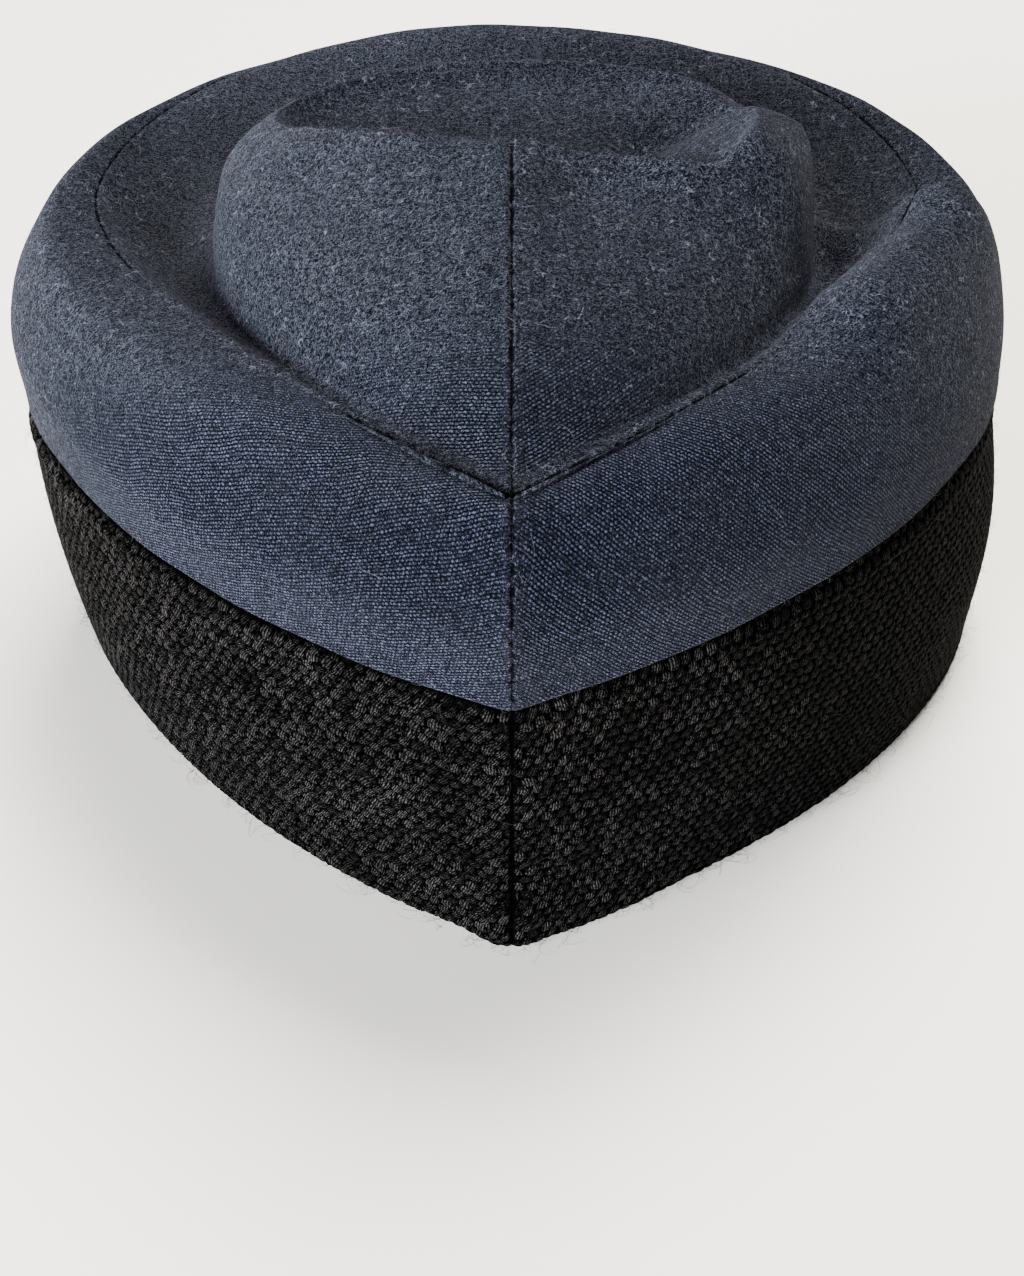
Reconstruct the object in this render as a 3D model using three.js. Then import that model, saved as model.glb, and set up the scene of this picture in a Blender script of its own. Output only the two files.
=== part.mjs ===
// A soft peaked cap: a wool crown of four panels, a knitted band and a cloth peak.
// Millimetres, +Z up. The wearer faces -Y and has +X on the left. The hem rests on z = 0.

import * as THREE from 'three';

// Driving sizes
const seamGap = 0.3;            // clearance between neighbouring pieces
const topSeamGap = 0.5;          // a little wider, as the walls close in where the seam turns
const clothThickness = 2.0;     // crown panels
const knitThickness = 4.0;      // band, a thick two-ply knit
const tuckHeight = 6.0;         // how far the band runs up inside the crown
const hemRise = 13;             // how far the hem lifts over the peak
const peakThickness = 3.0;
const peakHalfAngle = 55;       // degrees of the band that the peak spans to each side
const peakDepth = 44;           // from the band to the peak's front edge
const peakFrontHeight = 6;      // top of the peak's edge above the rest plane, at its middle
const peakDroop = 2;            // how far that edge sags between its middle and its corners
const peakCrown = 1.5;          // how far the peak bows up between root and edge

const degreesPerFacet = 5;
const bandSteps = 3;            // rows of facets between two band rings
const sideSteps = 3;            // rows of facets between two rings of the side panels
const topSteps = 2;             // the same for the top panels
const peakSteps = 5;            // rows of facets from the peak's root to its edge

// Each ring is a closed line round the cap. left, right, back and front are its reach from
// x = 0 and y = mid; z is its height there. point makes the back come to a soft corner
// (0 is an ellipse, 1 a straight-sided wedge), square fills out the front quarters.
const bandRings = [
  { at: 'hem', left: 93.5, right: 104, back: 98.5, front: -89.5, mid: 1.5,
    zBack: 0, zLeft: 0, zRight: 0, zFront: 0, point: 0.34, square: 0.04 },
  { at: 'middle', left: 96, right: 102.5, back: 99, front: -90.5, mid: 1,
    zBack: 32, zLeft: 30.5, zRight: 33.5, zFront: 38.5, point: 0.35, square: 0.04 },
  { at: 'top', left: 94.5, right: 96, back: 97.5, front: -90.5, mid: -1.5,
    zBack: 64, zLeft: 60, zRight: 64, zFront: 62.5, point: 0.34, square: 0.04 },
];

const crownRings = [
  { at: 'edge', left: 95, right: 97, back: 99, front: -91, mid: -2.5,
    zBack: 65, zLeft: 61, zRight: 65, zFront: 63, point: 0.34, square: 0.04 },
  { at: 'bulge', left: 97, right: 95.5, back: 97.5, front: -92.5, mid: -9.5,
    zBack: 80, zLeft: 77, zRight: 79, zFront: 78, point: 0.3, square: 0.04 },
  { at: 'rim', left: 91.5, right: 90, back: 91, front: -92, mid: -14,
    zBack: 93, zLeft: 88.5, zRight: 90, zFront: 87, point: 0.38, square: 0.04 },
  { at: 'seam', left: 83.5, right: 81.5, back: 85, front: -90, mid: -25,
    zBack: 95, zLeft: 87, zRight: 87, zFront: 92, point: 0.54, square: 0.04 },
  { at: 'inner rim', left: 79.5, right: 77.5, back: 84.2, front: -85.5, mid: -24,
    zBack: 95.1, zLeft: 84.7, zRight: 84.7, zFront: 93.5, point: 0.54, square: 0.03 },
  { at: 'moat', left: 68, right: 67, back: 80.2, front: -70, mid: -12,
    zBack: 95.9, zLeft: 81.5, zRight: 81.5, zFront: 86.5, point: 0.465, square: 0.02 },
  { at: 'foot', left: 57.5, right: 57.5, back: 77, front: -53, mid: -3,
    zBack: 97.2, zLeft: 84.3, zRight: 84.3, zFront: 88, point: 0.35, square: 0 },
  { at: 'flank', left: 55.5, right: 56, back: 66, front: -46, mid: -3,
    zBack: 103.2, zLeft: 93, zRight: 92, zFront: 96, point: 0.25, square: 0 },
  { at: 'shoulder', left: 52, right: 53, back: 46.5, front: -39, mid: -3,
    zBack: 110, zLeft: 103, zRight: 103, zFront: 104, point: 0.13, square: 0 },
  { at: 'crest', left: 43, right: 44, back: 21, front: -29.5, mid: -4,
    zBack: 116.8, zLeft: 110.5, zRight: 112, zFront: 110, point: 0, square: 0 },
  { at: 'lip', left: 40.5, right: 40, back: 18, front: -27.3, mid: -4.5,
    zBack: 115.2, zLeft: 109.2, zRight: 110.8, zFront: 109.3, point: 0, square: 0 },
  { at: 'brink', left: 35.5, right: 30, back: 14.5, front: -23.5, mid: -5,
    zBack: 109, zLeft: 106.5, zRight: 107.5, zFront: 107.2, point: 0, square: 0 },
  { at: 'hollow', left: 18, right: 15, back: 5, front: -14, mid: -5.5,
    zBack: 104.5, zLeft: 104.5, zRight: 105, zFront: 105.5, point: 0, square: 0 },
  { at: 'apex', left: 0, right: 0, back: -6, front: -6, mid: -6,
    zBack: 104, zLeft: 104, zRight: 104, zFront: 104, point: 0, square: 0 },
];

const seamLevel = crownRings.findIndex((ring) => ring.at === 'seam');
const rimLevel = crownRings.findIndex((ring) => ring.at === 'rim');
const apexLevel = crownRings.length - 1;

// Folds and dents of the soft crown: each raises (or sinks) the cloth along a short line.
const folds = [
  { name: 'left brow', fromX: 16, fromY: 19, toX: 33, toY: 10, width: 6, height: 1.3 },
  { name: 'swell', fromX: -77, fromY: 11, toX: -56, toY: 37, width: 12, height: 9.5 },
  { name: 'swell trough', fromX: -64, fromY: -2, toX: -49, toY: 18, width: 8, height: -3 },
  { name: 'ridge dip', fromX: -34, fromY: 17, toX: -13, toY: 22, width: 7, height: -4 },
  { name: 'facet', fromX: -36, fromY: 2, toX: -27, toY: 8, width: 6, height: 1.5 },
];

// Surface of the cap

function smoothStep(value) {
  const t = THREE.MathUtils.clamp(value, 0, 1);
  return t * t * (3 - 2 * t);
}

// Height of a line that passes through the four heights of a ring.
function ringHeight(ring, angle) {
  const middle = (ring.zLeft + ring.zRight) / 2;
  const tilt = (ring.zBack - ring.zFront) / 2;
  const bend = ((ring.zBack + ring.zFront) / 2 - middle) / 2;
  const lean = (ring.zLeft - ring.zRight) / 2;
  return middle + bend + tilt * Math.cos(angle) + bend * Math.cos(2 * angle) + lean * Math.sin(angle);
}

// The hem lifts off the rest plane over the front, where the peak is sewn on.
function hemHeight(angle) {
  return hemRise * smoothStep((-Math.cos(angle) - 0.25) / 0.6);
}

// angle 0 is the back of the cap, a quarter turn is its left side.
function ringPoint(ring, angle) {
  const sine = Math.sin(angle);
  const cosine = Math.cos(angle);
  const fullness = cosine < 0 ? 1 + ring.square * Math.sin(2 * angle) ** 2 : 1;
  const reachX = sine >= 0 ? ring.left : ring.right;
  const reachY = cosine >= 0 ? ring.back - ring.mid : ring.mid - ring.front;
  const alongY = cosine >= 0
    ? (1 - ring.point) * cosine + ring.point * (1 - Math.abs(sine))
    : cosine * fullness;
  const z = ring.at === 'hem' ? hemHeight(angle) : ringHeight(ring, angle);
  return new THREE.Vector3(reachX * sine * fullness, ring.mid + reachY * alongY, z);
}

// A smooth line up through the rings, at a level between the first and the last of them.
function throughRings(rings, level, angle) {
  const last = rings.length - 1;
  const index = Math.min(Math.floor(level), last - 1);
  const start = ringPoint(rings[index], angle);
  const end = ringPoint(rings[index + 1], angle);
  const before = index > 0
    ? ringPoint(rings[index - 1], angle)
    : start.clone().multiplyScalar(2).sub(end);
  const after = index < last - 1
    ? ringPoint(rings[index + 2], angle)
    : end.clone().multiplyScalar(2).sub(start);
  return new THREE.CatmullRomCurve3([before, start, end, after], false, 'catmullrom', 0.5)
    .getPoint((1 + level - index) / 3);
}

function foldHeight(point) {
  let height = 0;
  for (const fold of folds) {
    const line = new THREE.Line3(
      new THREE.Vector3(fold.fromX, fold.fromY, 0),
      new THREE.Vector3(fold.toX, fold.toY, 0),
    );
    const flat = new THREE.Vector3(point.x, point.y, 0);
    const nearest = line.closestPointToPoint(flat, true, new THREE.Vector3());
    height += fold.height * Math.exp(-((nearest.distanceTo(flat) / fold.width) ** 2));
  }
  return height;
}

function bandPoint(level, angle) {
  return throughRings(bandRings, level, angle);
}

function crownPoint(level, angle) {
  const point = throughRings(crownRings, level, angle);
  point.z += foldHeight(point) * smoothStep(level / rimLevel);
  return point;
}

// The point that lies depth under the surface, straight in from it.
function beneath(surface, level, angle, depth, topLevel) {
  const step = 0.01;
  const low = Math.max(level - step, 0);
  const high = Math.min(level + step, topLevel);
  const up = surface(high, angle).sub(surface(low, angle));
  const around = surface(level, angle + step).sub(surface(level, angle - step));
  const outward = up.cross(around);
  if (outward.length() < 1e-6) outward.set(0, 0, 1);
  return surface(level, angle).addScaledVector(outward.normalize(), -depth);
}

// Solids

// One closed solid from corner points and faces; corners that coincide become one.
function solid(quads) {
  const vertices = [];
  const indices = [];
  const seen = new Map();
  const indexOf = (point) => {
    const key = [point.x, point.y, point.z].map((value) => value.toFixed(4)).join();
    if (!seen.has(key)) {
      seen.set(key, vertices.length / 3);
      vertices.push(point.x, point.y, point.z);
    }
    return seen.get(key);
  };
  for (const corners of quads) {
    const [a, b, c, d] = corners.map(indexOf);
    if (a !== b && b !== c && c !== a) indices.push(a, b, c);
    if (a !== c && c !== d && d !== a) indices.push(a, c, d);
  }
  const geometry = new THREE.BufferGeometry();
  geometry.setAttribute('position', new THREE.Float32BufferAttribute(vertices, 3));
  geometry.setIndex(indices);
  geometry.computeVertexNormals();
  return geometry;
}

// A sheet with thickness: two matching grids of points and the edges that join them.
// The faces of the outer grid look out when its rows run up and its columns run from the
// back to the left; mirrored turns them round for a sheet that runs the other way.
function sheet(outer, inner, mirrored = false) {
  const quads = [];
  const add = (a, b, c, d) => quads.push(mirrored ? [d, c, b, a] : [a, b, c, d]);
  const columns = outer.length - 1;
  const rows = outer[0].length - 1;
  for (let i = 0; i < columns; i += 1) {
    for (let j = 0; j < rows; j += 1) {
      add(outer[i][j], outer[i][j + 1], outer[i + 1][j + 1], outer[i + 1][j]);
      add(inner[i][j], inner[i + 1][j], inner[i + 1][j + 1], inner[i][j + 1]);
    }
    add(outer[i][0], outer[i + 1][0], inner[i + 1][0], inner[i][0]);
    add(outer[i][rows], inner[i][rows], inner[i + 1][rows], outer[i + 1][rows]);
  }
  for (let j = 0; j < rows; j += 1) {
    add(outer[0][j], inner[0][j], inner[0][j + 1], outer[0][j + 1]);
    add(outer[columns][j], outer[columns][j + 1], inner[columns][j + 1], inner[columns][j]);
  }
  return solid(quads);
}

// A loop of closed sections, one for each angle round the cap.
function hoop(sections) {
  const quads = [];
  sections.forEach((section, i) => {
    const next = sections[(i + 1) % sections.length];
    section.forEach((point, j) => {
      const k = (j + 1) % section.length;
      quads.push([point, section[k], next[k], next[j]]);
    });
  });
  return solid(quads);
}

// Evenly spaced values from first to last.
function spread(first, last, steps) {
  return Array.from({ length: steps + 1 }, (_, i) => first + ((last - first) * i) / steps);
}

// Pieces

// The level that lies half a seam gap above (or, for a direction of -1, below) the top seam.
function besideSeam(angle, direction) {
  const step = 0.02;
  const onSeam = crownPoint(seamLevel, angle);
  const along = crownPoint(seamLevel, angle + step).sub(onSeam).normalize();
  const across = crownPoint(seamLevel + direction * step, angle).sub(onSeam);
  across.addScaledVector(along, -across.dot(along));
  return seamLevel + (direction * step * topSeamGap) / 2 / across.length();
}

// One half of the crown between two levels. side is 1 for the left half, -1 for the right.
// It stops half a seam gap short of the middle plane, like the panel next to it.
function crownPanel(side, firstLevelAt, lastLevelAt, steps) {
  const keepOff = (point) => {
    point.x = side * Math.max(side * point.x, seamGap / 2);
    return point;
  };
  const angles = spread(0, Math.PI, 180 / degreesPerFacet).map((angle) => side * angle);
  const levelsAt = (angle) => spread(firstLevelAt(angle), lastLevelAt(angle), steps);
  const outer = angles.map(
    (angle) => levelsAt(angle).map((level) => keepOff(crownPoint(level, angle))),
  );
  const inner = angles.map((angle) => levelsAt(angle).map(
    (level) => keepOff(beneath(crownPoint, level, angle, clothThickness, apexLevel)),
  ));
  return sheet(outer, inner, side < 0);
}

function sidePanel(side) {
  return crownPanel(side, () => 0, (angle) => besideSeam(angle, -1), seamLevel * sideSteps);
}

function topPanel(side) {
  const steps = (apexLevel - seamLevel) * topSteps;
  return crownPanel(side, (angle) => besideSeam(angle, 1), () => apexLevel, steps);
}

// The band: its wall, a ledge that the crown's lower edge sits on, and the tuck inside it.
function knitBand() {
  const topLevel = bandRings.length - 1;
  const levels = spread(0, topLevel, topLevel * bandSteps);
  const tuckDepth = clothThickness + 2 * seamGap;
  const sections = spread(0, 2 * Math.PI, 360 / degreesPerFacet).slice(0, -1).map((angle) => {
    const outer = levels.map((level) => bandPoint(level, angle));
    const inner = levels.map(
      (level) => beneath(bandPoint, level, angle, knitThickness, topLevel),
    );
    inner[0].z = outer[0].z;
    const ledge = beneath(bandPoint, topLevel, angle, tuckDepth, topLevel);
    const up = new THREE.Vector3(0, 0, tuckHeight);
    return [...outer, ledge, ledge.clone().add(up),
      inner[inner.length - 1].clone().add(up), ...inner.reverse()];
  });
  return hoop(sections);
}

// The peak: a crescent plate that starts under the hem and falls gently to its edge.
function peak() {
  const hem = bandRings[0];
  const half = THREE.MathUtils.degToRad(peakHalfAngle);
  const angles = spread(Math.PI - half, Math.PI + half, (2 * peakHalfAngle) / degreesPerFacet);
  const leftCorner = ringPoint(hem, Math.PI - half);
  const rightCorner = ringPoint(hem, Math.PI + half);
  const cornerHeight = leftCorner.z - seamGap;
  const topGrid = angles.map((angle) => {
    const root = beneath(bandPoint, 0, angle, knitThickness, bandRings.length - 1);
    const hemPoint = ringPoint(hem, angle);
    hemPoint.z -= seamGap;
    root.z = hemPoint.z;
    const turn = ((Math.PI - angle) / half) * (Math.PI / 2);
    const reach = turn > 0 ? leftCorner.x : -rightCorner.x;
    const towardsFront = Math.cos(turn);
    const edge = new THREE.Vector3(
      reach * Math.sin(turn),
      THREE.MathUtils.lerp(leftCorner.y, hem.front - peakDepth, towardsFront),
      THREE.MathUtils.lerp(cornerHeight, peakFrontHeight, towardsFront)
        - peakDroop * Math.sin(2 * turn) ** 2,
    );
    const row = spread(0, 1, peakSteps).map((share) => {
      const point = hemPoint.clone().lerp(edge, share);
      point.z += peakCrown * Math.sin(Math.PI * share) * towardsFront;
      return point;
    });
    return [root, ...row];
  });
  const under = new THREE.Vector3(0, 0, -peakThickness);
  const lowGrid = topGrid.map((row) => row.map((point) => point.clone().add(under)));
  return sheet(topGrid, lowGrid, true);
}

// Finishes

const cloth = { color: 0x3a4356, roughness: 0.95, metalness: 0 };
const knit = { color: 0x121214, roughness: 0.9, metalness: 0 };

function piece(name, geometry, finish) {
  const mesh = new THREE.Mesh(geometry, new THREE.MeshStandardMaterial(finish));
  mesh.name = name;
  return mesh;
}

const cap = new THREE.Group();
cap.add(
  piece('crown_top_left', topPanel(1), cloth),
  piece('crown_top_right', topPanel(-1), cloth),
  piece('crown_side_left', sidePanel(1), cloth),
  piece('crown_side_right', sidePanel(-1), cloth),
  piece('knit_band', knitBand(), knit),
  piece('peak', peak(), cloth),
);

// The origin is the middle of the cap's footprint, on the surface that it rests on.
const extent = new THREE.Box3().setFromObject(cap);
cap.position.set(
  -(extent.min.x + extent.max.x) / 2,
  -(extent.min.y + extent.max.y) / 2,
  -extent.min.z,
);

export default cap;
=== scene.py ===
import math

import bmesh
import bpy
import numpy as np
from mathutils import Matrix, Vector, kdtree


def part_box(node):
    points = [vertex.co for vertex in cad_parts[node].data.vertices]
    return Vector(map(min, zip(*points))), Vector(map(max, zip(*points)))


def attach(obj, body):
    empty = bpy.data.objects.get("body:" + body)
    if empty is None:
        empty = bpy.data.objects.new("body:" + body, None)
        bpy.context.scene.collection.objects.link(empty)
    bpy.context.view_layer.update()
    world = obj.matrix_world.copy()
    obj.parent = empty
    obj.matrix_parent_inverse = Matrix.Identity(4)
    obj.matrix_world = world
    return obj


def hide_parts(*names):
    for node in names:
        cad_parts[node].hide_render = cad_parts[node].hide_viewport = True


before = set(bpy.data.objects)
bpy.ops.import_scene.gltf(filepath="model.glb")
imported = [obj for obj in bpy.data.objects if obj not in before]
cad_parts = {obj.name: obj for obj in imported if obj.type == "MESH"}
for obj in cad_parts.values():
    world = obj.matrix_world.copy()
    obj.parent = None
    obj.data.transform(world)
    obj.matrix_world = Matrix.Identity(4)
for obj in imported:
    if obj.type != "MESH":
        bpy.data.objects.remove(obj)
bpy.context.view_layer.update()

rng = np.random.default_rng(58)
perMetre = 1000           # millimetres in a metre
tiny = 1e-9               # keeps divisions safe

# The cap is shaped in millimetres about its back seam: x = 0 is the plane of the seams, +x the
# wearer's left, -y the front. capShift carries that into the frame, by two places that the frame's
# own pieces give: the left half starts half a gap beside the seam, and the peak ends at its tip.
framePlaces = {"halfGap": 0.15, "peakTip": -133.5}
capShift = np.array([
    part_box("crown_top_left")[0][0] * perMetre - framePlaces["halfGap"],
    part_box("peak")[0][1] * perMetre - framePlaces["peakTip"],
    0.0,
])


# rings, folds and the smooth surface through them

ringColumns = ("left", "right", "back", "front", "mid",
               "zBack", "zLeft", "zRight", "zFront", "point", "square")

bandRings = {
    "hem":    (93.5, 104, 98.5, -89.5, 1.5, 0, 0, 0, 0, 0.34, 0.04),
    "middle": (96, 102.5, 99, -90.5, 1, 32, 30.5, 33.5, 38.5, 0.35, 0.04),
    "top":    (94.5, 96, 97.5, -90.5, -1.5, 64, 60, 64, 62.5, 0.34, 0.04),
}

sideRings = {
    "edge":  (95, 97, 99, -91, -2.5, 65, 61, 65, 63, 0.34, 0.04),
    "bulge": (97, 95.5, 97.5, -92.5, -9.5, 80, 77, 79, 78, 0.3, 0.04),
    "rim":   (91.5, 90, 91, -92, -14, 93, 88.5, 90, 87, 0.38, 0.04),
    "seam":  (83.5, 81.5, 85, -90, -25, 95, 87, 87, 92, 0.54, 0.04),
}

topRings = {
    "inner rim": (79.5, 77.5, 84.2, -85.5, -24, 95.1, 84.7, 84.7, 93.5, 0.54, 0.03),
    "moat":      (68, 67, 80.2, -70, -12, 95.9, 81.5, 81.5, 86.5, 0.465, 0.02),
    "foot":      (57.5, 57.5, 77, -53, -3, 97.2, 84.3, 84.3, 88, 0.35, 0),
    "flank":     (55.5, 56, 66, -46, -3, 103.2, 93, 92, 96, 0.25, 0),
    "shoulder":  (52, 53, 46.5, -39, -3, 110, 103, 103, 104, 0.13, 0),
    "crest":     (43, 44, 21, -29.5, -4, 116.8, 110.5, 112, 110, 0, 0),
    "lip":       (40.5, 40, 18, -27.3, -4.5, 115.2, 109.2, 110.8, 109.3, 0, 0),
    "brink":     (35.5, 30, 14.5, -23.5, -5, 109, 106.5, 107.5, 107.2, 0, 0),
    "hollow":    (18, 15, 5, -14, -5.5, 104.5, 104.5, 105, 105.5, 0, 0),
    "apex":      (0, 0, -6, -6, -6, 104, 104, 104, 104, 0, 0),
}

crownRings = {**sideRings, **topRings}
rimLevel = list(crownRings).index("rim")
seamLevel = list(crownRings).index("seam")
moatLevel = list(crownRings).index("moat")
apexLevel = len(crownRings) - 1

# each fold raises or sinks the cloth along a line: from x, y, to x, y, width, height
crownFolds = {
    "left brow":    (16, 19, 33, 10, 6, 1.3),
    "swell":        (-77, 11, -60, 36, 12.5, 9.2),
    "swell trough": (-62, 6, -50, 22, 7, -3.0),
    "swell arm":    (-78, 2, -60, -5, 8, 5.5),
    "ridge dip":    (-34, 17, -13, 22, 7, -3),
    "wall dip":     (-36, 30, -14, 34, 12, -3.5),
    "table":        (-38, 13, -28, 17, 7, 1.9),
    "right hollow": (-23, -6, -20, 6, 7, -2.6),
    "right shoulder": (-52, -4, -48, 14, 7, 2.6),
    "pinch":        (-43, -12, -26, -6, 5.5, -2.4),
    "left arm":     (3, 101, 28, 83, 2.4, 1.0),
}

# pushes move the cloth sideways round a spot: at x, y, by dx, dy, reach
crownPushes = {
    "right brow": (-34, 6, -1, 9, 14),
}

# the left flank stands out: round x, y, by so much, over this reach, gone at this crown level
flankPush = {"x": 96, "y": 6, "out": 3.0, "reach": 28, "fade": 1.67}

# over the front the hem rises, from where the cosine of the angle passes start, over spread
hemRise = {"height": 13, "start": 0.25, "spread": 0.6}


def smoothStep(value):
    t = np.clip(value, 0, 1)
    return t * t * (3 - 2 * t)


def rising(value, start, spread):
    return smoothStep((value - start) / spread)


def falling(value, end, spread):
    return smoothStep((end - value) / spread)


def ridge(distance, height, place, width):
    return height * np.exp(-((distance - place) / width) ** 2)


def ringLine(name, rings, angles):
    ring = dict(zip(ringColumns, rings[name]))
    sine, cosine = np.sin(angles), np.cos(angles)
    full = np.where(cosine < 0, 1 + ring["square"] * np.sin(2 * angles) ** 2, 1)
    reachX = np.where(sine >= 0, ring["left"], ring["right"])
    reachY = np.where(cosine >= 0, ring["back"] - ring["mid"], ring["mid"] - ring["front"])
    point = ring["point"]
    alongY = np.where(cosine >= 0, (1 - point) * cosine + point * (1 - np.abs(sine)), cosine * full)
    middle = (ring["zLeft"] + ring["zRight"]) / 2
    tilt = (ring["zBack"] - ring["zFront"]) / 2
    bend = ((ring["zBack"] + ring["zFront"]) / 2 - middle) / 2
    lean = (ring["zLeft"] - ring["zRight"]) / 2
    z = middle + bend + tilt * cosine + bend * np.cos(2 * angles) + lean * sine
    if name == "hem":
        z = hemRise["height"] * rising(-cosine, hemRise["start"], hemRise["spread"])
    return np.stack((reachX * sine * full, ring["mid"] + reachY * alongY, z), -1)


def throughRings(rings, levels, angles):
    # a smooth curve up through the rings, at each angle
    lines = np.array([ringLine(name, rings, angles) for name in rings])
    lines = np.concatenate(([2 * lines[0] - lines[1]], lines, [2 * lines[-1] - lines[-2]]))
    index = np.minimum(np.floor(levels).astype(int), len(rings) - 2)
    u = (levels - index)[:, None, None]
    a, b, c, d = (lines[index + k] for k in range(4))
    return 0.5 * (2 * b + (c - a) * u + (2 * a - 5 * b + 4 * c - d) * u ** 2
                  + (3 * b - a - 3 * c + d) * u ** 3)


def distanceToLine(points, x0, y0, x1, y1):
    start, along = np.array([x0, y0]), np.array([x1 - x0, y1 - y0])
    share = np.clip((points[..., :2] - start) @ along / (along @ along), 0, 1)
    return np.linalg.norm(points[..., :2] - start - share[..., None] * along, axis=-1)


def leftFlank(grid):
    p = flankPush
    away = np.hypot(grid[..., 0] - p["x"], grid[..., 1] - p["y"])
    return ridge(away, p["out"], 0, p["reach"])


def crownSurface(levels, angles):
    grid = throughRings(crownRings, levels, angles)
    grid[..., 0] += leftFlank(grid) * np.clip(1 - levels / flankPush["fade"], 0, 1)[:, None]
    for x, y, dx, dy, reach in crownPushes.values():
        share = ridge(np.hypot(grid[..., 0] - x, grid[..., 1] - y), 1, 0, reach)
        grid[..., :2] += share[..., None] * (dx, dy)
    raised = np.zeros(grid.shape[:2])
    for x0, y0, x1, y1, width, height in crownFolds.values():
        raised += ridge(distanceToLine(grid, x0, y0, x1, y1), height, 0, width)
    grid[..., 2] += raised * smoothStep(levels / rimLevel)[:, None]
    return grid


def bandSurface(levels, angles):
    grid = throughRings(bandRings, levels, angles)
    grid[..., 0] += leftFlank(grid)
    return grid


def outwardNormals(grid):
    around = np.gradient(grid, axis=1)
    up = np.gradient(grid, axis=0)
    normals = np.cross(up, around)
    length = np.linalg.norm(normals, axis=-1, keepdims=True)
    return np.where(length > tiny, normals / np.maximum(length, tiny), (0, 0, 1))


# spacing of rows and columns

# how densely a surface is sampled to measure it, and how far from the seams, in radians
measuring = {"angles": 3000, "seamAngles": 3600, "levels": 900, "columns": 24, "margin": 0.05}


def gradedSteps(length, fine, coarse, fineEnd=True, growth=1.22):
    # steps that grow from fine to coarse away from the start, and from the end too if it is fine
    ramp = []
    step = fine
    while step < coarse:
        ramp.append(step)
        step *= growth
    tail = ramp[::-1] if fineEnd else []
    middle = length - sum(ramp) - sum(tail)
    count = max(int(round(middle / coarse)), 1)
    steps = ramp + [middle / count] * count + tail
    return np.concatenate(([0], np.cumsum(steps)))


def arcLength(points):
    steps = np.linalg.norm(np.diff(points, axis=0), axis=-1)
    return np.concatenate((np.zeros((1,) + steps.shape[1:]), np.cumsum(steps, axis=0)))


def anglesAt(stops, dense, length, side):
    # the angles grow along the columns on both halves
    angles = np.interp(stops, length, dense)
    return angles if side > 0 else -angles[::-1]


def measuredRing(name, rings, side):
    dense = np.linspace(0, math.pi, measuring["angles"])
    return dense, arcLength(ringLine(name, rings, dense * side))


def measuredLevels(surface, low, high, side, count):
    # levels from low to high, and how far up the cloth each lies on average
    dense = np.linspace(low, high, count)
    margin = measuring["margin"]
    angles = side * np.linspace(margin, math.pi - margin, measuring["columns"])
    return dense, arcLength(surface(dense, angles)).mean(axis=1)


# meshes

def meshObject(name, points, quads, caps, values, maps=None):
    mesh = bpy.data.meshes.new(name)
    faces = [tuple(q) for q in quads.tolist()] + [tuple(c) for c in caps]
    mesh.from_pydata((points.reshape(-1, 3) + capShift) / perMetre, [], faces)
    for attribute, data in values.items():
        layer = mesh.attributes.new(attribute, "FLOAT", "POINT")
        layer.data.foreach_set("value", np.asarray(data, np.float32).ravel())
    if maps is not None:
        corner = np.zeros(len(mesh.loops), np.int32)
        mesh.loops.foreach_get("vertex_index", corner)
        layer = mesh.uv_layers.new(name="clothMap")
        uvs = np.stack(maps, -1).reshape(-1, 2).astype(np.float32)
        layer.data.foreach_set("uv", uvs[corner].ravel())
    mesh.polygons.foreach_set("use_smooth", np.ones(len(mesh.polygons), bool))
    mesh.update()
    piece = bpy.data.objects.new(name, mesh)
    bpy.context.scene.collection.objects.link(piece)
    return piece


def sweptFaces(rows, columns):
    # a closed section of so many rows, swept through the columns: its sides and both end caps
    i = np.arange(rows)[:, None]
    j = np.arange(columns - 1)[None, :]
    k = (i + 1) % rows
    corners = (i * columns + j, k * columns + j, k * columns + j + 1, i * columns + j + 1)
    sides = np.stack([np.broadcast_to(c, (rows, columns - 1)) for c in corners], -1)
    firstCap = [row * columns for row in range(rows)]
    lastCap = [row * columns + columns - 1 for row in range(rows)]
    return sides.reshape(-1, 4)[:, ::-1], [firstCap, lastCap[::-1]]


def mergeCloseCorners(piece, distance=2e-6):
    # where rows run together; the distance is in metres
    work = bmesh.new()
    work.from_mesh(piece.data)
    bmesh.ops.remove_doubles(work, verts=work.verts, dist=distance)
    bmesh.ops.dissolve_degenerate(work, edges=work.edges, dist=distance / 10)
    work.to_mesh(piece.data)
    work.free()


def rollRows(outerEdge, innerEdge, towardsEdge, count):
    # a half round from the outer edge to the inner one
    centre = (outerEdge + innerEdge) / 2
    spoke = outerEdge - centre
    radius = np.linalg.norm(spoke, axis=-1, keepdims=True)
    turns = np.linspace(0, math.pi, count + 2)[1:-1]
    return np.array([centre + spoke * math.cos(t) + towardsEdge * radius * math.sin(t)
                     for t in turns])


def keptToSide(grid, side):
    # nothing crosses the plane of the seams
    return np.concatenate((side * np.maximum(side * grid[..., :1], 0), grid[..., 1:]), -1)


def bothFaces(values, rolled=None):
    # the outer face from the top down, the rolled edge if there is one, the inner face back up
    return np.concatenate((values[::-1], values) if rolled is None else (values[::-1], rolled, values))


# crown panels

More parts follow.
